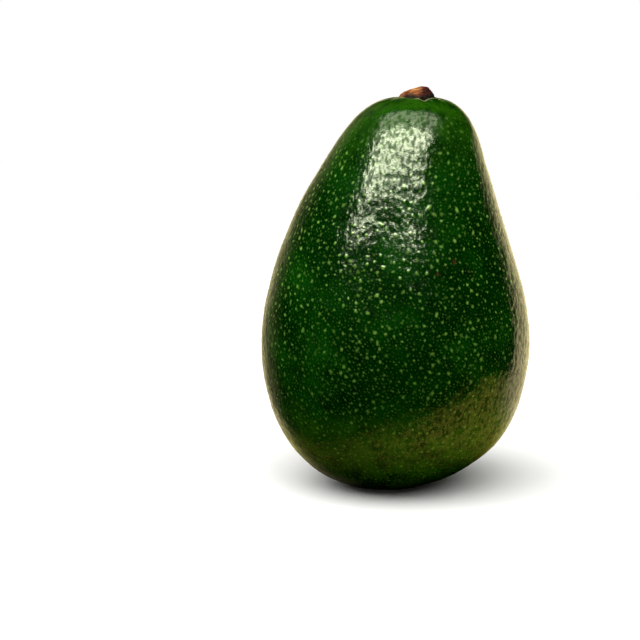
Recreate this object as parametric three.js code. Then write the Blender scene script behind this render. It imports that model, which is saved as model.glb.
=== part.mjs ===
// A whole green-skinned avocado that stands on the small flat spot at its blossom end: the fruit,
// grown as one piece, and the woody button of its stalk, which sits in a socket at the top.
//
// Millimetres, +Z up. The origin is on the surface that the fruit stands on, under the middle of
// the belly. The neck leans a little towards +X.
import * as THREE from "three";

// Driving dimensions of the fruit.
const HEIGHT = 113.2; // from the resting spot to the crest of the shoulders
const DEPTH_SHARE = 0.965; // front-to-back size over side-to-side size
const SPOT_RADIUS = 7; // the flat spot underneath
const BELLY = { radius: 38.8, height: 41.8 }; // the widest ring
const NECK = { radius: 20, height: 102, taper: 23.5 }; // where the flank meets the shoulder, taper in degrees
const CREST_RADIUS = 6.8; // the ring where the shoulder is highest

// The pit that holds the button. Its lip lies a little below the crest.
const SOCKET = { radius: 4.5, lipDrop: 0.9, depth: 2.6, fillet: 0.6 };

// How far each end of an outline curve pulls along its own direction: a longer pull is fuller.
const PULL = { spot: 7.9, belowBelly: 33.8, aboveBelly: 19.7, belowNeck: 17.7, aboveNeck: 4.5, crest: 5.6 };

// How the middle of a ring moves off the Z axis, as a slope past a height.
const NECK_LEAN = { slope: 0.171, from: 81.5 }; // towards +X, upwards
const BASE_LEAN = { slope: 0.39, from: 5.1 }; // towards -X, downwards
const NECK_BOW = { slope: 0.045, from: 72 }; // towards -Y, upwards
const LEAN_BLEND = 6; // height over which a lean sets in

// Slow swellings round the fruit: how many there are, their share of the radius and their turn.
const SWELLINGS = [
  { count: 2, share: 0.005, turn: 0.6 },
  { count: 3, share: 0.004, turn: 2.1 },
];

// Driving dimensions of the stem button: a round peg under a lobed, lopsided cap. The cap's
// underside, rim and height are above the crest.
const PEG = { radius: 4.1, chamfer: 0.6 };
const CAP = { radius: 5.3, underside: -0.35, rim: 0.2, height: 3.0, crown: 1.3 };
const CAP_BULGE = { up: 1.5, out: 1.9 }; // of the cap's side, up from its rim and out from its crown
const CAP_PEAK_SHIFT = 1.3; // how far its highest point is off centre, towards +X
const CAP_TILT = 0.3; // the share of its height that it gains at its +X edge and loses at the -X one
const CAP_LOBES = [
  { count: 2, share: 0.05, turn: 0.4 },
  { count: 5, share: 0.035, turn: 1.3 },
  { count: 7, share: 0.02, turn: 0.2 },
];
const CLEARANCE = 0.35; // between the peg's end and the socket's floor

const FRUIT_FACETS = { round: 64, length: 3.7 };
const BUTTON_FACETS = { round: 32, length: 0.8 };

// A ramp that is flat before a height and rises by its slope after it.
function ramp({ slope, from }, height) {
  return slope * LEAN_BLEND * Math.log1p(Math.exp((height - from) / LEAN_BLEND));
}

// Where the middle of the ring at a height is.
function ringCentre(height) {
  const downwards = ramp({ slope: BASE_LEAN.slope, from: -BASE_LEAN.from }, -height);
  return new THREE.Vector2(ramp(NECK_LEAN, height) - downwards, -ramp(NECK_BOW, height));
}

// 1 plus the sum of some waves round the axis.
function waviness(waves, angle) {
  return waves.reduce((sum, wave) => sum + wave.share * Math.cos(wave.count * (angle - wave.turn)), 1);
}

// The points of a path, about one `length` apart, with each corner once.
function spacedPoints(path, length) {
  const points = path.curves.flatMap((curve) =>
    curve.getSpacedPoints(Math.max(1, Math.round(curve.getLength() / length))),
  );
  return points.filter((point, i) => i === 0 || point.distanceTo(points[i - 1]) > 1e-6);
}

// Turns an outline (x is the radius, y the height) round +Z, then lets `reshape` move each vertex.
function turned(path, facets, reshape) {
  const geometry = new THREE.LatheGeometry(spacedPoints(path, facets.length), facets.round);
  geometry.rotateX(Math.PI / 2);
  const position = geometry.getAttribute("position");
  const vertex = new THREE.Vector3();
  for (let i = 0; i < position.count; i += 1) {
    vertex.fromBufferAttribute(position, i);
    reshape(vertex);
    position.setXYZ(i, vertex.x, vertex.y, vertex.z);
  }
  geometry.computeVertexNormals();
  return geometry;
}

// From the resting spot up the base, flank and shoulder, and down into the socket.
function fruitOutline() {
  const taper = THREE.MathUtils.degToRad(NECK.taper);
  const inward = Math.sin(taper);
  const upward = Math.cos(taper);
  const lip = HEIGHT - SOCKET.lipDrop;
  const floor = HEIGHT - SOCKET.depth;
  return new THREE.Path()
    .moveTo(0, 0)
    .lineTo(SPOT_RADIUS, 0)
    .bezierCurveTo(
      SPOT_RADIUS + PULL.spot, 0,
      BELLY.radius, BELLY.height - PULL.belowBelly,
      BELLY.radius, BELLY.height,
    )
    .bezierCurveTo(
      BELLY.radius, BELLY.height + PULL.aboveBelly,
      NECK.radius + PULL.belowNeck * inward, NECK.height - PULL.belowNeck * upward,
      NECK.radius, NECK.height,
    )
    .bezierCurveTo(
      NECK.radius - PULL.aboveNeck * inward, NECK.height + PULL.aboveNeck * upward,
      CREST_RADIUS + PULL.crest, HEIGHT,
      CREST_RADIUS, HEIGHT,
    )
    .quadraticCurveTo((CREST_RADIUS + SOCKET.radius) / 2, HEIGHT, SOCKET.radius, lip)
    .lineTo(SOCKET.radius, floor + SOCKET.fillet)
    .quadraticCurveTo(SOCKET.radius, floor, SOCKET.radius - SOCKET.fillet, floor)
    .lineTo(0, floor);
}

// A peg that fits the socket, under a rounded cap whose rim overhangs it.
function buttonOutline() {
  const bottom = HEIGHT - SOCKET.depth + CLEARANCE;
  const top = HEIGHT + CAP.height;
  return new THREE.Path()
    .moveTo(0, bottom)
    .lineTo(PEG.radius - PEG.chamfer, bottom)
    .lineTo(PEG.radius, bottom + PEG.chamfer)
    .lineTo(PEG.radius, HEIGHT + CAP.underside)
    .lineTo(CAP.radius, HEIGHT + CAP.rim)
    .bezierCurveTo(
      CAP.radius, HEIGHT + CAP.rim + CAP_BULGE.up,
      CAP.crown + CAP_BULGE.out, top,
      CAP.crown, top,
    )
    .lineTo(0, top);
}

function fruitGeometry() {
  return turned(fruitOutline(), FRUIT_FACETS, (vertex) => {
    const { x, y, z } = vertex;
    const inSocket = z > NECK.height && Math.hypot(x, y) < CREST_RADIUS;
    const swelling = inSocket ? 1 : waviness(SWELLINGS, Math.atan2(y, x));
    const depthShare = inSocket ? 1 : DEPTH_SHARE;
    const centre = ringCentre(z);
    vertex.set(x * swelling + centre.x, y * swelling * depthShare + centre.y, z);
  });
}

function buttonGeometry() {
  return turned(buttonOutline(), BUTTON_FACETS, (vertex) => {
    const { x, y, z } = vertex;
    // 0 on the peg, so that it stays round and fits, and 1 at the top of the cap.
    const rise = Math.max(0, (z - HEIGHT - CAP.underside) / (CAP.height - CAP.underside));
    const lobes = THREE.MathUtils.lerp(1, waviness(CAP_LOBES, Math.atan2(y, x)), Math.min(1, 2 * rise));
    const tilt = CAP_TILT * (x / CAP.radius) * Math.max(0, z - HEIGHT - CAP.rim);
    const centre = ringCentre(Math.min(z, HEIGHT));
    vertex.set(x * lobes + centre.x + CAP_PEAK_SHIFT * rise, y * lobes + centre.y, z + tilt);
  });
}

const skin = new THREE.MeshStandardMaterial({ color: "#123f12", roughness: 0.38, metalness: 0 });
const bark = new THREE.MeshStandardMaterial({ color: "#6b3a1c", roughness: 0.85, metalness: 0 });

const fruit = new THREE.Mesh(fruitGeometry(), skin);
fruit.name = "fruit";

const stemButton = new THREE.Mesh(buttonGeometry(), bark);
stemButton.name = "stem_button";

const avocado = new THREE.Group();
avocado.name = "avocado";
avocado.add(fruit, stemButton);

export default avocado;
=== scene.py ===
import math

import bmesh
import bpy
import numpy as np
from bpy.props import FloatProperty, FloatVectorProperty, PointerProperty
from bpy.types import Operator, Panel, PropertyGroup
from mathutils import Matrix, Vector
from mathutils.bvhtree import BVHTree
from mathutils.kdtree import KDTree


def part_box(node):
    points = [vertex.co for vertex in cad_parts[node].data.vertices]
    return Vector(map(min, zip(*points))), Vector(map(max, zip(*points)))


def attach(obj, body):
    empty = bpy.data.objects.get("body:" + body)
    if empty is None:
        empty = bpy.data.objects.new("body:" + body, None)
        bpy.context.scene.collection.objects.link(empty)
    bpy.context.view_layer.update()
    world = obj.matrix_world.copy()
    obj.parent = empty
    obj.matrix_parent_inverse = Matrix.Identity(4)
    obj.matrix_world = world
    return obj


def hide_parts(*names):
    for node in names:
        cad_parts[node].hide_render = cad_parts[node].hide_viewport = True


bl_info = {
    "name": "Avocado",
    "version": (1, 0, 0),
    "blender": (4, 5, 0),
    "location": "3D View > Sidebar > Avocado",
    "description": "Makes a whole avocado with its stem button, and a plain studio around it",
    "category": "Add Mesh",
}

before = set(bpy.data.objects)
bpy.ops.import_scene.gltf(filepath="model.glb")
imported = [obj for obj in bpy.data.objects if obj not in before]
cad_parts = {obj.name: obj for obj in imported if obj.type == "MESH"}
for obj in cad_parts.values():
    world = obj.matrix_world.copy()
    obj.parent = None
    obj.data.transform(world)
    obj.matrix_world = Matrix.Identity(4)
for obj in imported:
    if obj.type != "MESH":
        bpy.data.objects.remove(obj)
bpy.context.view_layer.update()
FRUIT_LOW, FRUIT_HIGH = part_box("fruit")
BUTTON_LOW, BUTTON_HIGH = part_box("stem_button")
FRUIT_MIDDLE = Vector((0, 0, FRUIT_HIGH.z / 2))
STALK = (BUTTON_LOW + BUTTON_HIGH) / 2  # the stalk's axis runs through here
MM = 0.001

# How finely the meshes are made: quads along a side of the first ball, and how often each is halved.
FRUIT_CELLS, FRUIT_HALVINGS = 36, 3
BUTTON_CELLS, BUTTON_HALVINGS = 20, 2

# The top of the fruit: where it starts, and the share of the height above which it has no pores.
TOP_START = 0.9 * FRUIT_HIGH.z
BARE_TOP = 0.965

# The corky ring round the button: its radius, and the angles at which it has a tongue and a notch.
RING_RADIUS = 5.7 * MM
TONGUE_ANGLE, NOTCH_ANGLE = -2.6, -1.2

# How far the peel's single features stand up or sink in.
RING_HEIGHT = 0.2 * MM
LIP_HEIGHT = 1.0 * MM
CREASE_HEIGHT = 0.07 * MM
DIP_DEPTH = 1.2 * MM
MARK_DEPTH = 0.06 * MM

BLOSSOM_ASIDE = 1.9 * MM  # from the middle of the fruit, towards -X

# The studio, in metres.
PANEL_DISTANCE = 0.7  # from the fruit to each soft box
FLOOR_RADIUS = 12
FLOOR_GLOW = (0.15, 0.6)  # how far out the floor starts to look backlit, and where it fully does
MAT_DROP = 0.05 * MM  # from the floor down to the mat

# The mix node's colour sockets, which share their names with its other sockets.
MIX_FACTOR, MIX_A, MIX_B, MIX_COLOUR = 0, 6, 7, 2


def linear(hex_colour):
    """The linear values of an sRGB colour such as "#2a5a10"."""
    shares = [int(hex_colour[i : i + 2], 16) / 255 for i in (1, 3, 5)]
    return tuple(s / 12.92 if s <= 0.04045 else ((s + 0.055) / 1.055) ** 2.4 for s in shares)


def length(name, description, millimetres):
    return FloatProperty(name=name, description=description, default=millimetres * MM, unit="LENGTH")


def colour(name, description, hex_colour):
    return FloatVectorProperty(
        name=name, description=description, default=linear(hex_colour), subtype="COLOR", min=0, max=1
    )


class AvocadoSkinSettings(PropertyGroup):
    swell_size: length("Swell size", "Width of the slow swells and dents of the fruit", 16)
    swell_height: length("Swell height", "Height of the slow swells", 0.22)
    pebble_size: length("Pebble size", "Width of the pebbles of the peel", 2.0)
    pebble_height: length("Pebble height", "Height of the pebbles", 0.05)
    grain_size: length("Grain size", "Width of the grains that the pebbles are divided into", 1.0)
    grain_height: length("Grain height", "Height of the grains", 0.036)
    shoulder_height: length("Shoulder height", "How far the shoulder swells up round the button", 0.25)
    lenticel_spacing: length("Lenticel spacing", "Distance between two pores of the peel", 1.9)
    lenticel_radius: length("Lenticel radius", "Half the width of an ordinary pore", 0.39)
    lenticel_height: length("Lenticel height", "How far a pore's corky dot stands up", 0.085)
    deep_green: colour("Deep green", "Colour of most of the peel", "#002300")
    leaf_green: colour("Leaf green", "Colour of the peel's lighter patches", "#053602")
    neck_green: colour("Neck green", "Colour of the peel near the stalk", "#1b4203")
    # Partly the blossom end's own olive green, partly painted bounce light from the floor.
    base_green_and_bounce: colour("Base green", "Colour of the peel near the blossom end", "#225002")
    lenticel_green: colour("Lenticel green", "Colour of the pores", "#74a041")
    cork: colour("Cork", "Colour of the scar round the stalk and at the blossom end", "#75764e")
    scar_brown: colour("Scar brown", "Colour of the small rub marks", "#3a2410")


class AvocadoButtonSettings(PropertyGroup):
    fibre_height: length("Fibre height", "Height of the fibres and cracks", 0.28)
    sink: length("Sink", "How far the button's foot sinks into the dimple of the peel", 0.9)
    lift: length("Lift", "How far the button is raised with the shoulder", 0.2)
    bark: colour("Bark", "Colour of the weathered upper side", "#7a421a")
    dry_bark: colour("Dry bark", "Colour of the bleached fibres", "#b47d44")
    # Partly the red-brown of the inner bark, partly painted shade on the button's right and lower sides.
    inner_bark_and_shade: colour("Inner bark", "Colour of the red-brown side", "#430c06")
    # Painted shade: the near black of the cracks, of the foot and of the far right side.
    crevice_shade: colour("Crevice", "Colour of the cracks and of the foot", "#0c0604")


class AvocadoStudioSettings(PropertyGroup):
    camera_distance: length("Camera distance", "From the camera to the middle of the fruit", 800)
    camera_elevation: FloatProperty(
        name="Camera elevation",
        description="How far the camera looks down on the fruit",
        default=math.radians(12),
        subtype="ANGLE",
    )
    field_width: length("Field width", "Width of what the camera sees at the fruit", 185)
    aside: length("Aside", "How far the fruit stands right of the middle of the view", 21.65)
    above: length("Above", "How far the fruit stands above the middle of the view", 8.0)
    mat_radius: length("Mat radius", "Half the width of the mat that the peel mirrors", 110)
    mat_aside: length("Mat aside", "How far the mat lies to the right of the fruit", 52)
    mat_back: length("Mat back", "How far the mat lies behind the fruit", 25)
    floor: colour("Floor", "Colour of the floor", "#f1f1ef")
    backdrop: colour("Backdrop", "Colour behind the floor", "#ffffff")
    sheen: colour("Sheen", "Colour of the soft boxes as the peel mirrors them", "#f5ffd8")
    tan: colour("Tan", "Colour of the board that the peel mirrors at its rims", "#d3c594")
    olive: colour("Olive", "Colour of the middle of the mat, which only the peel mirrors", "#c6ba48")
    # Painted light: makes the mat pale on its right side.
    straw: colour("Straw", "Colour of the mat's right side", "#ead8a2")


# ---------------------------------------------------------------------------------------------
# Shapes


def smoothstep(low, high, values):
    """0 below `low`, 1 above `high` and a smooth rise between them."""
    share = np.clip((values - low) / (high - low), 0, 1)
    return share * share * (3 - 2 * share)


def lumps(points, size, seed):
    """Gradient noise from about -1 to 1 at each point, with lumps about `size` across."""
    rng = np.random.default_rng(seed)
    slopes = rng.normal(size=(2048, 3))
    slopes /= np.linalg.norm(slopes, axis=1, keepdims=True)
    mixers = np.array((73856093, 19349663, 83492791))
    place = points / size + rng.uniform(100, 200, 3)
    cell = np.floor(place).astype(np.int64)
    inside = place - cell
    blend = inside**3 * (inside * (inside * 6 - 15) + 10)
    total = np.zeros(len(points))
    for corner in np.ndindex(2, 2, 2):
        step = np.array(corner)
        key = np.bitwise_xor.reduce((cell + step) * mixers, axis=1) % len(slopes)
        weight = np.prod(np.where(step, blend, 1 - blend), axis=1)
        total += weight * np.einsum("ij,ij->i", inside - step, slopes[key])
    return total * 1.7


def quad_ball(cells):
    """A ball of even quads: a cube with that many cells along each side, pushed out to radius 1."""
    ball = bmesh.new()
    bmesh.ops.create_cube(ball, size=2)
    bmesh.ops.subdivide_edges(ball, edges=ball.edges, cuts=cells - 1, use_grid_fill=True)
    lay_out_sides(ball)
    for vertex in ball.verts:
        vertex.co = Vector([math.tan(c * math.pi / 4) for c in vertex.co]).normalized()
    return ball


def lay_out_sides(cube):
    """Lays the six sides of a cube from -1 to 1 on the UV square, three by two, with gaps."""
    layer = cube.loops.layers.uv.new("OFBake")
    margin = 0.012
    for face in cube.faces:
        middle = face.calc_center_median()
        axis = max(range(3), key=lambda i: abs(middle[i]))
        row = int(middle[axis] > 0)
        for loop in face.loops:
            across, up = (loop.vert.co[(axis + i) % 3] / 2 + 0.5 for i in (1, 2))
            across, up = (margin + share * (1 - 2 * margin) for share in (across, up))
            loop[layer].uv = ((axis + across) / 3, (row + up) / 2)


def press_onto(ball, node, centre):
    """Moves each vertex of a ball to where its ray from `centre` meets a solid."""
    solid = BVHTree.FromObject(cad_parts[node], bpy.context.evaluated_depsgraph_get())
    for vertex in ball.verts:
        place, *_ = solid.ray_cast(centre, vertex.co)
        if place is None:
            raise RuntimeError(f"a ray from {centre} misses {node}")
        vertex.co = place


def relax(ball, rounds):
    """Rounds off facets. The second pass gives back what the first one shrank."""

    def average():
        for _ in range(rounds):
            bmesh.ops.smooth_vert(
                ball, verts=ball.verts, factor=0.5, use_axis_x=True, use_axis_y=True, use_axis_z=True
            )

    before = [vertex.co.copy() for vertex in ball.verts]
    average()
    after = [vertex.co.copy() for vertex in ball.verts]
    for vertex, old, new in zip(ball.verts, before, after):
        vertex.co = old - new
    average()
    for vertex, new in zip(ball.verts, after):
        vertex.co += new


def halved(ball, name, halvings):
    """A smooth object from a ball, with each of its quads halved both ways that many times."""
    coarse = bpy.data.meshes.new(name + "_coarse")
    ball.to_mesh(coarse)
    ball.free()
    piece = bpy.data.objects.new(name, coarse)
    bpy.context.scene.collection.objects.link(piece)
    rounding = piece.modifiers.new("rounding", "SUBSURF")
    rounding.levels = rounding.render_levels = halvings
    rounding.uv_smooth = "NONE"
    depsgraph = bpy.context.evaluated_depsgraph_get()
    piece.data = bpy.data.meshes.new_from_object(piece.evaluated_get(depsgraph))
    piece.data.name = name
    piece.modifiers.clear()
    bpy.data.meshes.remove(coarse)
    piece.data.shade_smooth()
    return piece


def vectors(collection, name):
    """A vector of each item of a mesh's collection, as an array of rows."""
    flat = np.empty(len(collection) * 3, np.float32)
    collection.foreach_get(name, flat)
    return flat.reshape(-1, 3).astype(float)


def set_points(mesh, points):
    mesh.vertices.foreach_set("co", points.astype(np.float32).ravel())
    mesh.update()


def set_layer(mesh, name, values):
    """Stores a number for each vertex, which a material can read."""
    layer = mesh.attributes.new(name, "FLOAT", "POINT")
    layer.data.foreach_set("value", values.astype(np.float32))


def hand_over(piece, node):
    """Lets a piece stand for its solid."""
    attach(piece, "root")
    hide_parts(node)


# ---------------------------------------------------------------------------------------------
# The fruit's relief


def tree_of(points):
    tree = KDTree(len(points))
    for i, point in enumerate(points):
        tree.insert(point, i)
    tree.balance()
    return tree


def scattered(points, tree, spacing, free, seed):
    """Which points to take so that each taken one keeps its own spacing from the next ones."""
    free = free.copy()
    taken = []
    for i in np.random.default_rng(seed).permutation(len(points)):
        if free[i]:
            taken.append(i)
            free[[near for _, near, _ in tree.find_range(points[i], spacing[i])]] = False
    return np.array(taken)


def dots(points, tree, middles, radii, stretches, strengths, seed):
    """A layer of oval dots: 1 in the middle of a strong one, 0 between them."""
    rng = np.random.default_rng(seed)
    ways = rng.normal(size=(len(middles), 3)) * (0.6, 0.6, 1)  # they lie along the fruit a little more often
    ways /= np.linalg.norm(ways, axis=1, keepdims=True)
    ragged = 1 + 0.4 * lumps(points, 0.7 * MM, seed)
    layer = np.zeros(len(points))
    for i, radius, stretch, strength, way in zip(middles, radii, stretches, strengths, ways):
        near = [n for _, n, _ in tree.find_range(points[i], radius * stretch * 1.4)]
        offset = points[near] - points[i]
        along = offset @ way
        across = np.sqrt(np.maximum((offset**2).sum(axis=1) - along**2, 0))
        far = np.hypot(along / (radius * stretch), across / radius) * ragged[near]
        layer[near] = np.maximum(layer[near], strength * (1 - smoothstep(0.25, 1.2, far)))
    return layer


def lenticels(points, tree, settings):
    """The pores of the peel: a layer of the plain ones, and of the faint ones between them."""
    rng = np.random.default_rng(11)
    height = points[:, 2] / FRUIT_HIGH.z
    patchy = lumps(points, 22 * MM, 12)
    room = settings.lenticel_spacing * (1 + 0.16 * patchy - 0.2 * (1 - smoothstep(0.1, 0.45, height)))
    open_skin = height < BARE_TOP
    plain = scattered(points, tree, room, open_skin, 13)
    radii = settings.lenticel_radius * np.exp(np.clip(rng.normal(0, 0.26, len(plain)), -0.6, 0.35))
    stretches = 1 + rng.exponential(0.28, len(plain))
    strengths = np.clip(rng.normal(0.52, 0.36, len(plain)), 0.05, 1)
    # Lenticels fade towards the stalk, on the lower flank and a little at the blossom end.
    low_down = smoothstep(0.02, 0.4, height[plain])
    radii *= 0.72 + 0.28 * low_down
    strengths *= (0.8 + 0.2 * low_down) * (1 - 0.75 * smoothstep(0.84, 0.96, height[plain]))
    strengths *= 1 - 0.4 * np.exp(-(((height[plain] - 0.34) / 0.16) ** 2))
    strong = dots(points, tree, plain, radii, np.minimum(stretches, 2), strengths, 14)

    faint = scattered(points, tree, 0.52 * room, open_skin & (strong < 0.05), 15)
    faint_radii = 0.5 * settings.lenticel_radius * np.exp(rng.normal(0, 0.25, len(faint)))
    faint_strengths = rng.uniform(0.05, 0.42, len(faint)) * (1 - 0.7 * smoothstep(0.84, 0.96, height[faint]))
    weak = dots(points, tree, faint, faint_radii, np.ones(len(faint)), faint_strengths, 16)
    return np.maximum(strong, weak)


def around_stalk(points):
    """Distance from the stalk's axis and the angle round it, for each point."""
    offset = points[:, :2] - np.array(STALK[:2])
    return np.hypot(offset[:, 0], offset[:, 1]), np.arctan2(offset[:, 1], offset[:, 0])


def stalk_scar(points):
    """The top of the peel: how much it dips under the button, the corky ring round the button, the
    wavy lip that the ring runs on, which has a notch in front, and the creases beside it."""
    distance, angle = around_stalk(points)
    distance = np.where(points[:, 2] > TOP_START, distance, 1)
    circle = np.stack([np.cos(angle), np.sin(angle), distance * 60], axis=1)
    edge = RING_RADIUS + 0.35 * MM * lumps(circle, 0.55, 21) + 0.2 * MM * lumps(circle, 0.2, 22)
    dip = 1 - smoothstep(edge - 2.2 * MM, edge - 0.2 * MM, distance)
    tongue = np.exp(-(((angle - TONGUE_ANGLE) / 0.35) ** 2))
    width = 0.3 * MM * (1 + 0.5 * lumps(circle, 0.7, 24) + 1.6 * tongue)
    ring = np.exp(-(((distance - edge) / width) ** 2)) * np.clip(0.6 + lumps(circle, 0.35, 26), 0.2, 1)
    notch = np.exp(-(((angle - NOTCH_ANGLE) / 0.2) ** 2))
    lip = (0.75 - 0.9 * notch + 0.25 * lumps(circle, 0.9, 25)) * np.clip(-1.5 * np.sin(angle), 0, 1)
    lip *= np.exp(-(((distance - edge) / (1.5 * MM)) ** 2))
    creases = lumps(circle * (1, 1, 0.3), 0.16, 23) * np.exp(-(((distance - 7 * MM) / (3.5 * MM)) ** 2))
    return dip, ring, lip, creases


def rub_marks(points, tree):
    """A few small brown marks: height up the fruit, turn from the front, and half width."""
    marks = [
        (0.631, 31, 0.75),
        (0.603, 21, 0.55),
        (0.42, 118, 1.0),
        (0.66, 201, 0.8),
        (0.31, 248, 1.2),
    ]
    layer = np.zeros(len(points))
    ragged = 1 + 0.6 * lumps(points, 0.9 * MM, 31)
    for share, turn, half_width in marks:
        sine, cosine = math.sin(math.radians(turn)), math.cos(math.radians(turn))
        ahead = points[:, 0] * sine - points[:, 1] * cosine
        aside = points[:, 0] * cosine + points[:, 1] * sine
        away = np.hypot(aside, points[:, 2] - share * FRUIT_HIGH.z)
        middle = np.argmin(np.where(ahead > 0, away, 1))
        near = [n for _, n, _ in tree.find_range(points[middle], 2.5 * half_width * MM)]
        far = np.linalg.norm(points[near] - points[middle], axis=1) / (half_width * MM) * ragged[near]
        layer[near] = np.maximum(layer[near], 1 - smoothstep(0.4, 1.1, far))
    return layer


def blossom_scar(points):
    """The corky point that the blossom left, near the middle of the resting spot."""
    foot = np.array(((FRUIT_LOW.x + FRUIT_HIGH.x) / 2 - BLOSSOM_ASIDE, 0, 0))
    far = np.linalg.norm(points - foot, axis=1) * (1 + 0.3 * lumps(points, 1.5 * MM, 41))
    return 1 - smoothstep(1.0 * MM, 2.6 * MM, far)


def give_relief(mesh, settings):
    """Raises the swells, pebbles, grains and pores of the peel, and stores what its colours need."""
    points = vectors(mesh.vertices, "co")
    out = vectors(mesh.vertex_normals, "vector")
    height = points[:, 2] / FRUIT_HIGH.z
    tree = tree_of(points)
    pores = lenticels(points, tree, settings)
    marks = rub_marks(points, tree)
    blossom = blossom_scar(points)
    dip, ring, lip, creases = stalk_scar(points)

    drawn = points * (1, 1, 0.5)  # the grains lie along the fruit
    pebbles = lumps(points, settings.pebble_size, 3)
    grains = 0.8 * lumps(drawn, settings.grain_size, 4) + 0.4 * lumps(drawn, 0.6 * settings.grain_size, 5)
    rise = settings.pebble_height * pebbles + settings.grain_height * grains
    rise *= 1 - 0.6 * smoothstep(0.95, 0.995, height)  # the neck is smoother
    rise += settings.shoulder_height * smoothstep(0.93, 0.99, height)
    rise += settings.swell_height * lumps(points, settings.swell_size, 1)
    rise += 0.4 * settings.swell_height * lumps(points, 0.45 * settings.swell_size, 2)
    rise += settings.lenticel_height * pores
    rise -= MARK_DEPTH * marks
    rise += CREASE_HEIGHT * creases
    rise += RING_HEIGHT * ring + LIP_HEIGHT * lip - DIP_DEPTH * dip
    rise *= smoothstep(0, 1.5 * MM, points[:, 2])  # the resting spot stays flat
    points += out * rise[:, None]
    points[:, 2] = np.maximum(points[:, 2], 0)
    set_points(mesh, points)

    set_layer(mesh, "lenticel", pores)
    set_layer(mesh, "mark", marks)
    set_layer(mesh, "cork", np.clip(ring + 0.6 * dip + blossom, 0, 1))
    # Painted shade: the peel is darkened where it lies low between the pebbles.
    set_layer(mesh, "hollow_shade", np.clip(0.5 - 0.5 * pebbles, 0, 1))
    set_layer(mesh, "waxed", smoothstep(-0.4, 0.3, grains + 0.4 * pebbles + 0.8 * pores))
    set_layer(mesh, "neck", smoothstep(0.8, 0.99, height))
    # Partly the blossom end's own colour, partly painted bounce light: the lower part of the peel is made
    # lighter.
    set_layer(mesh, "base_and_bounce", 1 - smoothstep(0.16, 0.27, height + 0.03 * lumps(points, 9 * MM, 6)))


def fill_socket(ball):
    """Closes the solid's socket at the height of the crest, so that the peel runs on under the button."""
    reach = (BUTTON_HIGH.x - BUTTON_LOW.x) / 2 + 1.3 * MM
    for vertex in ball.verts:
        aside = math.hypot(vertex.co.x - STALK.x, vertex.co.y - STALK.y)
        if vertex.co.z > TOP_START and aside < reach:
            vertex.co.z = FRUIT_HIGH.z


class AVOCADO_OT_fruit_skin(Operator):
    """Make the fruit, with the relief and the colours of its peel"""

    bl_idname = "avocado.fruit_skin"
    bl_label = "Fruit skin"

    def execute(self, context):
        settings = context.scene.avocado_skin
        ball = quad_ball(FRUIT_CELLS)
        press_onto(ball, "fruit", FRUIT_MIDDLE)
        fill_socket(ball)
        relax(ball, 6)
        fruit = halved(ball, "fruit_skin", FRUIT_HALVINGS)
        give_relief(fruit.data, settings)
        fruit.data.materials.append(avocado_peel(settings))
        hand_over(fruit, "fruit")
        return {"FINISHED"}


# ---------------------------------------------------------------------------------------------
# The stem button


def give_bark(mesh, settings):
    """Breaks the button's smooth cap up into fibres, cracks and a ragged foot."""
    points = vectors(mesh.vertices, "co")
    out = vectors(mesh.vertex_normals, "vector")
    crest = FRUIT_HIGH.z
    up = (points[:, 2] - crest) / (BUTTON_HIGH.z - crest)
    # The low side rises in a shoulder, and the steep side slopes in towards the top.
    shoulder = np.exp(-(((points[:, 0] - STALK.x + 1.9 * MM) / (1.7 * MM)) ** 2)) * smoothstep(0.1, 0.6, up)
    points[:, 2] += 0.15 * MM * shoulder
    points[:, 0] -= (0.03 + 0.24 * smoothstep(0.0, 0.8, up)) * np.maximum(points[:, 0] - STALK.x, 0)
    grain = np.array(Vector((1, 0.15, 0.2)).normalized())
    drawn = points - 0.85 * (points @ grain)[:, None] * grain
    fibres = lumps(drawn, 0.55 * MM, 51)
    knots = lumps(points, 2.4 * MM, 52)
    cracks = 1 - np.abs(lumps(drawn, 1.2 * MM, 53))
    crumbs = lumps(points, 0.4 * MM, 54)
    rise = settings.fibre_height * (0.6 * fibres + 1.0 * knots + 0.3 * crumbs)
    rise -= settings.fibre_height * 0.8 * smoothstep(0.88, 1.0, cracks)
    rise *= smoothstep(-0.5, 0.3, up)
    points += out * rise[:, None]
    points[:, 2] += settings.lift - settings.sink * (1 - smoothstep(0.0, 0.45, up))
    set_points(mesh, points)
    # Painted shade in the cracks and in the low parts between the fibres.
    set_layer(mesh, "crack_shade", smoothstep(0.9, 1.0, cracks) + 0.4 * np.clip(-fibres - 0.2, 0, 1))
    # Painted shade at the foot and on the lower sides, left out on the lit left side.
    lit_left = 0.9 * smoothstep(2.6 * MM, 4 * MM, STALK.x - points[:, 0])
    set_layer(mesh, "foot", (1 - lit_left) * (1 - smoothstep(0.3, 0.62, up + 0.12 * knots)))
    set_layer(mesh, "flank", 0.8 * (1 - lit_left) * (1 - smoothstep(0.4, 0.75, up + 0.15 * knots)))
    set_layer(mesh, "fibre", np.clip(0.5 + 0.8 * fibres, 0, 1))


class AVOCADO_OT_stem_button(Operator):
    """Make the woody button that the stalk left in the fruit"""

    bl_idname = "avocado.stem_button"
    bl_label = "Stem button"

    def execute(self, context):
        settings = context.scene.avocado_button
        ball = quad_ball(BUTTON_CELLS)
        press_onto(ball, "stem_button", Vector((STALK.x - 0.4 * MM, STALK.y, FRUIT_HIGH.z + 0.8 * MM)))
        relax(ball, 2)
        button = halved(ball, "woody_button", BUTTON_HALVINGS)
        give_bark(button.data, settings)
        button.data.materials.append(weathered_stalk(settings))
        hand_over(button, "stem_button")
        return {"FINISHED"}


# ---------------------------------------------------------------------------------------------
# Materials


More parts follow.
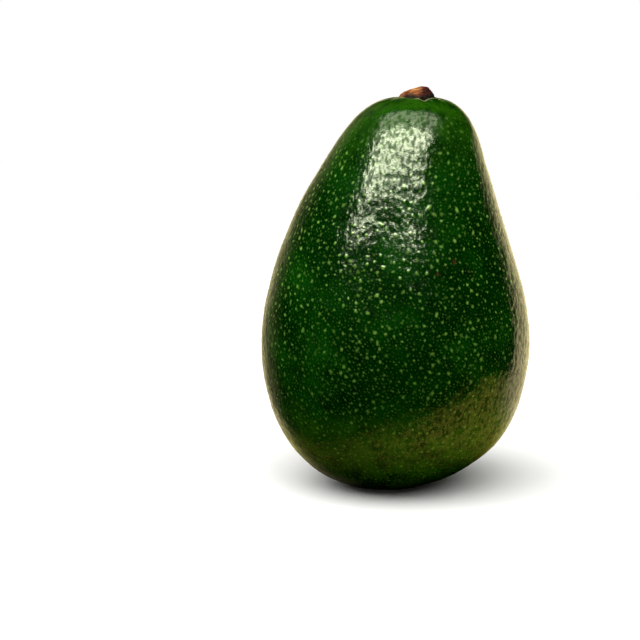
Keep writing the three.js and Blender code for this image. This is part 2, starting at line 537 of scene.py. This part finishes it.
def add_node(tree, kind, settings=None, links=None):
    """Adds a node. Settings go to the input of that name or number, or to the node's own option."""
    made = tree.nodes.new("ShaderNode" + kind)
    for name, value in (settings or {}).items():
        if isinstance(name, int) or name in made.inputs:
            made.inputs[name].default_value = value
        else:
            setattr(made, name, value)
    for name, source in (links or {}).items():
        tree.links.new(source, made.inputs[name])
    return made


def new_material(name):
    """An empty node material with its output, and the coordinates that its patterns use."""
    material = bpy.data.materials.new(name)
    material.use_nodes = True
    tree = material.node_tree
    tree.nodes.clear()
    output = add_node(tree, "OutputMaterial")
    place = add_node(tree, "TexCoord").outputs["Object"]
    return material, tree, output, place


def opaque(rgb):
    return (*rgb, 1)


def avocado_peel(settings):
    """Fresh avocado peel, grown: a deep green rind under a thin natural wax. The wax shines on top of
    the fine grains and is dull between them, and pale corky pores sit in the green. Painted shade
    darkens the hollows between the pebbles, and the lower part is lighter, partly from the blossom
    end's own olive green and partly from painted bounce light off the floor."""
    material, tree, output, place = new_material("avocado_peel")
    layers = {
        name: add_node(tree, "Attribute", {"attribute_name": name}).outputs["Fac"]
        for name in ("hollow_shade", "neck", "base_and_bounce", "lenticel", "mark", "cork", "waxed")
    }
    # Clouds on the peel: their size and detail, and which of their values turn to 0 and to 1.
    clouds = {}
    for name, size, detail, low, high in (
        ("leaf", 17 * MM, 3, 0.42, 0.66),
        ("hollow_shade", 5 * MM, 2, 0.4, 0.7),
        ("neck", 4 * MM, 3, 0.3, 0.62),
        ("base_and_bounce", 6 * MM, 3, 0.3, 0.6),
        ("dull", 2.6 * MM, 2, 0.3, 0.7),
        ("glint", 0.5 * MM, 2, 0.35, 0.6),
    ):
        noise = add_node(tree, "TexNoise", {"Scale": 1 / size, "Detail": detail}, {"Vector": place})
        limits = {"From Min": low, "From Max": high}
        clouds[name] = add_node(tree, "MapRange", limits, {"Value": noise.outputs["Fac"]}).outputs["Result"]

    # Coats of colour over the deep green, each with how much of it shows at most.
    under = {}
    for name, rgb, most in (
        ("leaf", settings.leaf_green, 1),
        # painted shade: the deep green darkened in the hollows between the pebbles
        ("hollow_shade", [0.35 * c for c in settings.deep_green], 1),
        ("neck", settings.neck_green, 1),
        # partly the blossom end's olive, partly painted bounce light from the floor
        ("base_and_bounce", settings.base_green_and_bounce, 1),
        ("lenticel", settings.lenticel_green, 0.92),
        ("mark", settings.scar_brown, 0.8),
        ("cork", settings.cork, 1),
    ):
        share = add_node(tree, "Math", {"operation": "MULTIPLY", 0: most, 1: 1})
        for socket, found in enumerate((clouds.get(name), layers.get(name))):
            if found:
                tree.links.new(found, share.inputs[socket])
        coat = {"data_type": "RGBA", MIX_A: opaque(settings.deep_green), MIX_B: opaque(rgb)}
        links = {MIX_FACTOR: share.outputs[0], **under}
        under = {MIX_A: add_node(tree, "Mix", coat, links).outputs[MIX_COLOUR]}

    crumbs = add_node(tree, "TexNoise", {"Scale": 1 / (0.45 * MM), "Detail": 2}, {"Vector": place})
    bump = {"Strength": 1.0, "Distance": 0.04 * MM}
    fine = add_node(tree, "Bump", bump, {"Height": crumbs.outputs["Fac"]})
    # Roughness and gloss, each from what sets it: its values where that is 0 and where it's 1.
    levels = {}
    for name, source, at_none, at_full in (
        ("smooth", clouds["dull"], 0.1, 0.15),
        ("wax", layers["waxed"], 0.12, 0.62),
        ("glint", clouds["glint"], 0.55, 1.1),
        ("uncorked", layers["cork"], 1, 0.2),
    ):
        ends = {"To Min": at_none, "To Max": at_full}
        levels[name] = add_node(tree, "MapRange", ends, {"Value": source}).outputs["Result"]
    rough = add_node(
        tree, "MapRange", {"To Max": 0.6}, {"Value": layers["cork"], "To Min": levels["smooth"]}
    )
    gloss = levels["wax"]
    for name in ("glint", "uncorked"):
        gloss = add_node(tree, "Math", {"operation": "MULTIPLY"}, {0: gloss, 1: levels[name]}).outputs[0]
    rind = add_node(
        tree,
        "BsdfPrincipled",
        {"IOR": 1.5},
        {
            "Base Color": under[MIX_A],
            "Roughness": rough.outputs["Result"],
            "Specular IOR Level": gloss,
            "Normal": fine.outputs["Normal"],
        },
    )
    tree.links.new(rind.outputs["BSDF"], output.inputs["Surface"])
    return material


def weathered_stalk(settings):
    """Dry stalk wood, broken off and weathered: dull, with orange-brown fibres and a red-brown inner side.
    Painted shade darkens it on the right side, on the lower sides, at the foot and in the cracks, to near
    black."""
    material, tree, output, place = new_material("weathered_stalk")
    grain = add_node(tree, "Mapping", {"Scale": (0.3, 1, 1)}, {"Vector": place}).outputs["Vector"]
    streaks = add_node(tree, "TexNoise", {"Scale": 1 / (1.6 * MM), "Detail": 2}, {"Vector": grain})
    across = add_node(tree, "SeparateXYZ", {}, {0: place}).outputs["X"]
    layers = {
        name: add_node(tree, "Attribute", {"attribute_name": name}).outputs["Fac"]
        for name in ("fibre", "flank", "foot", "crack_shade")
    }
    # Coats of colour over the bark, each with what it follows and the values where it is 0 and 1.
    under = {}
    for rgb, source, low, high in (
        (settings.dry_bark, layers["fibre"], 0.5, 0.9),
        # the right side, away from the light: partly red-brown inner bark, partly painted shade
        (settings.inner_bark_and_shade, across, STALK.x + 0.2 * MM, STALK.x + 1.8 * MM),
        # painted shade: near black on the far right side
        (settings.crevice_shade, across, STALK.x + 1.6 * MM, STALK.x + 4.0 * MM),
        (settings.inner_bark_and_shade, streaks.outputs["Fac"], 0.52, 0.68),
        # partly red-brown bark, partly painted shade on the lower sides
        (settings.inner_bark_and_shade, layers["flank"], 0, 1),
        # painted shade at the foot, where the button meets the peel
        (settings.crevice_shade, layers["foot"], 0, 1),
        # painted shade in the cracks and between the fibres
        (settings.crevice_shade, layers["crack_shade"], 0, 1),
    ):
        share = add_node(tree, "MapRange", {"From Min": low, "From Max": high}, {"Value": source})
        coat = {"data_type": "RGBA", MIX_A: opaque(settings.bark), MIX_B: opaque(rgb)}
        links = {MIX_FACTOR: share.outputs["Result"], **under}
        under = {MIX_A: add_node(tree, "Mix", coat, links).outputs[MIX_COLOUR]}
    crumbs = add_node(tree, "TexNoise", {"Scale": 1 / (0.25 * MM), "Detail": 3}, {"Vector": grain})
    bump = {"Strength": 0.6, "Distance": 0.05 * MM}
    rough = add_node(tree, "Bump", bump, {"Height": crumbs.outputs["Fac"]})
    wood = add_node(
        tree,
        "BsdfPrincipled",
        {"Roughness": 0.72, "Specular IOR Level": 0.08},
        {"Base Color": under[MIX_A], "Normal": rough.outputs["Normal"]},
    )
    tree.links.new(wood.outputs["BSDF"], output.inputs["Surface"])
    return material


def woven_mat(settings):
    """Straw-green mat: matt, with a fine weave, a painted shadow where the fruit stands and painted light
    that makes it pale on its right. Its outer part thins out to nothing."""
    material, tree, output, place = new_material("woven_mat")
    weave = add_node(tree, "TexNoise", {"Scale": 1 / (2 * MM), "Detail": 2}, {"Vector": place})
    foot = (-settings.mat_aside, -settings.mat_back, 0)
    right = (43 * MM, 50 * MM, 0)
    # Round the mat's right side, the fruit's foot and the mat's own middle: where each change starts
    # and is complete.
    rings = {}
    for name, middle, start, end in (
        ("pale", right, 95 * MM, 45 * MM),
        ("dark", foot, 48 * MM, 22 * MM),
        ("thin", (0, 0, 0), 0.65 * settings.mat_radius, settings.mat_radius),
    ):
        away = add_node(tree, "VectorMath", {"operation": "DISTANCE", 1: middle}, {0: place})
        limits = {"From Min": start, "From Max": end, "interpolation_type": "SMOOTHSTEP"}
        ring = add_node(tree, "MapRange", limits, {"Value": away.outputs["Value"]})
        rings[name] = ring.outputs["Result"]
    under = {}
    for rgb, share in (
        ([0.9 * c for c in settings.olive], weave.outputs["Fac"]),
        # painted light: the mat paler on its right side
        (settings.straw, rings["pale"]),
        # painted shadow: the mat black round the fruit's foot
        ((0, 0, 0), rings["dark"]),
    ):
        coat = {"data_type": "RGBA", MIX_A: opaque(settings.olive), MIX_B: opaque(rgb)}
        under = {MIX_A: add_node(tree, "Mix", coat, {MIX_FACTOR: share, **under}).outputs[MIX_COLOUR]}
    matt = add_node(tree, "BsdfDiffuse", {}, {"Color": under[MIX_A]})
    clear = add_node(tree, "BsdfTransparent")
    mat = add_node(tree, "MixShader", {}, {0: rings["thin"], 1: matt.outputs[0], 2: clear.outputs[0]})
    tree.links.new(mat.outputs[0], output.inputs["Surface"])
    return material


def painted_board(settings):
    """Smooth board with matt pale paint: even, with no gloss. Far from the fruit it's lit as brightly as
    the backdrop, so that one runs on into the other."""
    material, tree, output, place = new_material("painted_board")
    far = add_node(tree, "VectorMath", {"operation": "LENGTH"}, {0: place}).outputs["Value"]
    limits = {"From Min": FLOOR_GLOW[0], "From Max": FLOOR_GLOW[1], "interpolation_type": "SMOOTHSTEP"}
    far = add_node(tree, "MapRange", limits, {"Value": far}).outputs["Result"]
    tone = add_node(tree, "TexNoise", {"Scale": 4, "Detail": 2}, {"Vector": place}).outputs["Fac"]
    paint = add_node(tree, "Mix", {"data_type": "RGBA"}, {MIX_FACTOR: tone})
    paint.inputs[MIX_A].default_value = opaque(settings.floor)
    paint.inputs[MIX_B].default_value = opaque([0.985 * c for c in settings.floor])
    matt = add_node(
        tree,
        "BsdfPrincipled",
        {"Roughness": 0.9, "Specular IOR Level": 0.1},
        {"Base Color": paint.outputs[MIX_COLOUR]},
    )
    backlit = add_node(tree, "Emission", {"Color": opaque(settings.backdrop), "Strength": 1.0})
    board = add_node(tree, "MixShader", {}, {0: far, 1: matt.outputs["BSDF"], 2: backlit.outputs[0]})
    tree.links.new(board.outputs[0], output.inputs["Surface"])
    return material


# ---------------------------------------------------------------------------------------------
# The studio


def add_camera(settings):
    """Looks along +Y and down on the fruit, which stands right of and above the middle of the view."""
    lens = bpy.data.cameras.new("camera")
    lens.sensor_width = 36
    lens.lens = lens.sensor_width * settings.camera_distance / settings.field_width
    camera = bpy.data.objects.new("camera", lens)
    bpy.context.scene.collection.objects.link(camera)
    tilt = settings.camera_elevation
    back = Vector((0, -math.cos(tilt), math.sin(tilt)))
    up = Vector((0, math.sin(tilt), math.cos(tilt)))
    aim = FRUIT_MIDDLE - Vector((1, 0, 0)) * settings.aside - up * settings.above
    camera.location = FRUIT_MIDDLE + back * settings.camera_distance
    camera.rotation_euler = (aim - camera.location).to_track_quat("-Z", "Y").to_euler()
    bpy.context.scene.camera = camera


def add_disc(name, radius, place, material):
    sheet = bmesh.new()
    bmesh.ops.create_circle(sheet, cap_ends=True, radius=radius, segments=128)
    mesh = bpy.data.meshes.new(name)
    sheet.to_mesh(mesh)
    sheet.free()
    disc = bpy.data.objects.new(name, mesh)
    disc.location = place
    bpy.context.scene.collection.objects.link(disc)
    disc.data.materials.append(material)
    return disc


def add_floor(settings):
    """The bright floor, which neither lights the fruit from below nor shows in its peel, and just
    under it the mat that does both instead."""
    floor = add_disc("floor", FLOOR_RADIUS, (0, 0, 0), painted_board(settings))
    floor.visible_glossy = floor.visible_diffuse = floor.visible_shadow = False
    place = (settings.mat_aside, settings.mat_back, -MAT_DROP)
    mat = add_disc("mat", settings.mat_radius, place, woven_mat(settings))
    mat.visible_camera = mat.visible_shadow = False


def add_panel(name, turn, elevation, size, radiance):
    """A soft box that faces the fruit. The turn is 0 in front and 90 on the right."""
    turn, elevation = math.radians(turn), math.radians(elevation)
    lamp = bpy.data.lights.new(name, "AREA")
    lamp.shape = "RECTANGLE"
    lamp.size, lamp.size_y = size
    lamp.energy = radiance * math.pi * lamp.size * lamp.size_y
    panel = bpy.data.objects.new(name, lamp)
    bpy.context.scene.collection.objects.link(panel)
    away = Vector(
        (math.sin(turn) * math.cos(elevation), -math.cos(turn) * math.cos(elevation), math.sin(elevation))
    )
    panel.location = FRUIT_MIDDLE + away * PANEL_DISTANCE
    panel.rotation_euler = away.to_track_quat("Z", "Y").to_euler()
    panel.visible_camera = False
    return panel


def add_surroundings(settings):
    """The backdrop as the camera sees it, the board that the peel mirrors, and the soft fill."""
    world = bpy.data.worlds.new("studio")
    bpy.context.scene.world = world
    world.use_nodes = True
    tree = world.node_tree
    tree.nodes.clear()
    output = add_node(tree, "OutputWorld")
    way = add_node(tree, "TexCoord").outputs["Generated"]
    ray = add_node(tree, "LightPath").outputs
    axes = add_node(tree, "SeparateXYZ", {}, {0: way}).outputs
    behind = Vector((0.2, 0.95, -0.2)).normalized()
    facing = add_node(tree, "VectorMath", {"operation": "DOT_PRODUCT", 1: behind}, {0: way})
    # Each light fades in between two values of what it follows: the board with its top and its left
    # edge, the dim wall behind on the left, and the fill from above and from the left.
    strengths = []
    for most, fades in (
        (2.3, ((facing.outputs["Value"], 0.68, 0.78), (axes["Z"], 0.2, -0.12), (axes["X"], -0.6, 0.05))),
        (0.4, ((axes["X"], -0.1, -0.5), (axes["Y"], 0.4, 0.85))),
        (0.6, ((axes["Z"], -0.4, 0.75), (axes["X"], 1.6, -1.2))),
    ):
        strength = add_node(tree, "Math", {"operation": "ADD", 0: most, 1: 0}).outputs[0]
        for source, dark, bright in fades:
            limits = {"From Min": dark, "From Max": bright, "interpolation_type": "SMOOTHSTEP"}
            fade = add_node(tree, "MapRange", limits, {"Value": source}).outputs["Result"]
            strength = add_node(tree, "Math", {"operation": "MULTIPLY"}, {0: strength, 1: fade}).outputs[0]
        strengths.append(strength)
    board = add_node(tree, "Math", {"operation": "ADD"}, {0: strengths[0], 1: strengths[1]}).outputs[0]
    mirrored = add_node(tree, "Background", {"Color": opaque(settings.tan)}, {"Strength": board})
    fill = add_node(tree, "Background", {"Color": (1, 1, 0.96, 1)}, {"Strength": strengths[2]})
    seen = add_node(tree, "Background", {"Color": opaque(settings.backdrop), "Strength": 1.0})
    lights = {0: ray["Is Glossy Ray"], 1: fill.outputs[0], 2: mirrored.outputs[0]}
    unseen = add_node(tree, "MixShader", {}, lights)
    lights = {0: ray["Is Camera Ray"], 1: unseen.outputs[0], 2: seen.outputs[0]}
    tree.links.new(add_node(tree, "MixShader", {}, lights).outputs[0], output.inputs["Surface"])


class AVOCADO_OT_studio(Operator):
    """Make the camera, the floor, the soft boxes and the backdrop"""

    bl_idname = "avocado.studio"
    bl_label = "Studio"

    def execute(self, context):
        settings = context.scene.avocado_studio
        add_camera(settings)
        add_floor(settings)
        key = add_panel("key", -20, 68, (1.96, 1.09), 3.1)
        key.visible_glossy = False
        for sheen in (
            add_panel("wide_sheen", -11, 72, (1.08, 0.76), 3.9),
            add_panel("narrow_sheen", -12.5, 48.5, (0.94, 0.34), 17.0),
        ):
            sheen.data.color = settings.sheen
            sheen.visible_diffuse = False
        add_surroundings(settings)
        context.scene.view_settings.view_transform = "Standard"
        return {"FINISHED"}


class AVOCADO_PT_panel(Panel):
    bl_label = "Avocado"
    bl_space_type = "VIEW_3D"
    bl_region_type = "UI"
    bl_category = "Avocado"

    def draw(self, context):
        for operator, settings in (
            (AVOCADO_OT_fruit_skin, context.scene.avocado_skin),
            (AVOCADO_OT_stem_button, context.scene.avocado_button),
            (AVOCADO_OT_studio, context.scene.avocado_studio),
        ):
            box = self.layout.box()
            for name in settings.bl_rna.properties.keys():
                if name not in {"rna_type", "name"}:
                    box.prop(settings, name)
            box.operator(operator.bl_idname)


CLASSES = (
    AvocadoSkinSettings,
    AvocadoButtonSettings,
    AvocadoStudioSettings,
    AVOCADO_OT_studio,
    AVOCADO_OT_fruit_skin,
    AVOCADO_OT_stem_button,
    AVOCADO_PT_panel,
)


def register():
    for made in CLASSES:
        bpy.utils.register_class(made)
    bpy.types.Scene.avocado_skin = PointerProperty(type=AvocadoSkinSettings)
    bpy.types.Scene.avocado_button = PointerProperty(type=AvocadoButtonSettings)
    bpy.types.Scene.avocado_studio = PointerProperty(type=AvocadoStudioSettings)


def unregister():
    del bpy.types.Scene.avocado_studio
    del bpy.types.Scene.avocado_button
    del bpy.types.Scene.avocado_skin
    for made in reversed(CLASSES):
        bpy.utils.unregister_class(made)


def main():
    register()
    bpy.ops.avocado.studio()
    bpy.ops.avocado.fruit_skin()
    bpy.ops.avocado.stem_button()


if __name__ == "__main__":
    main()
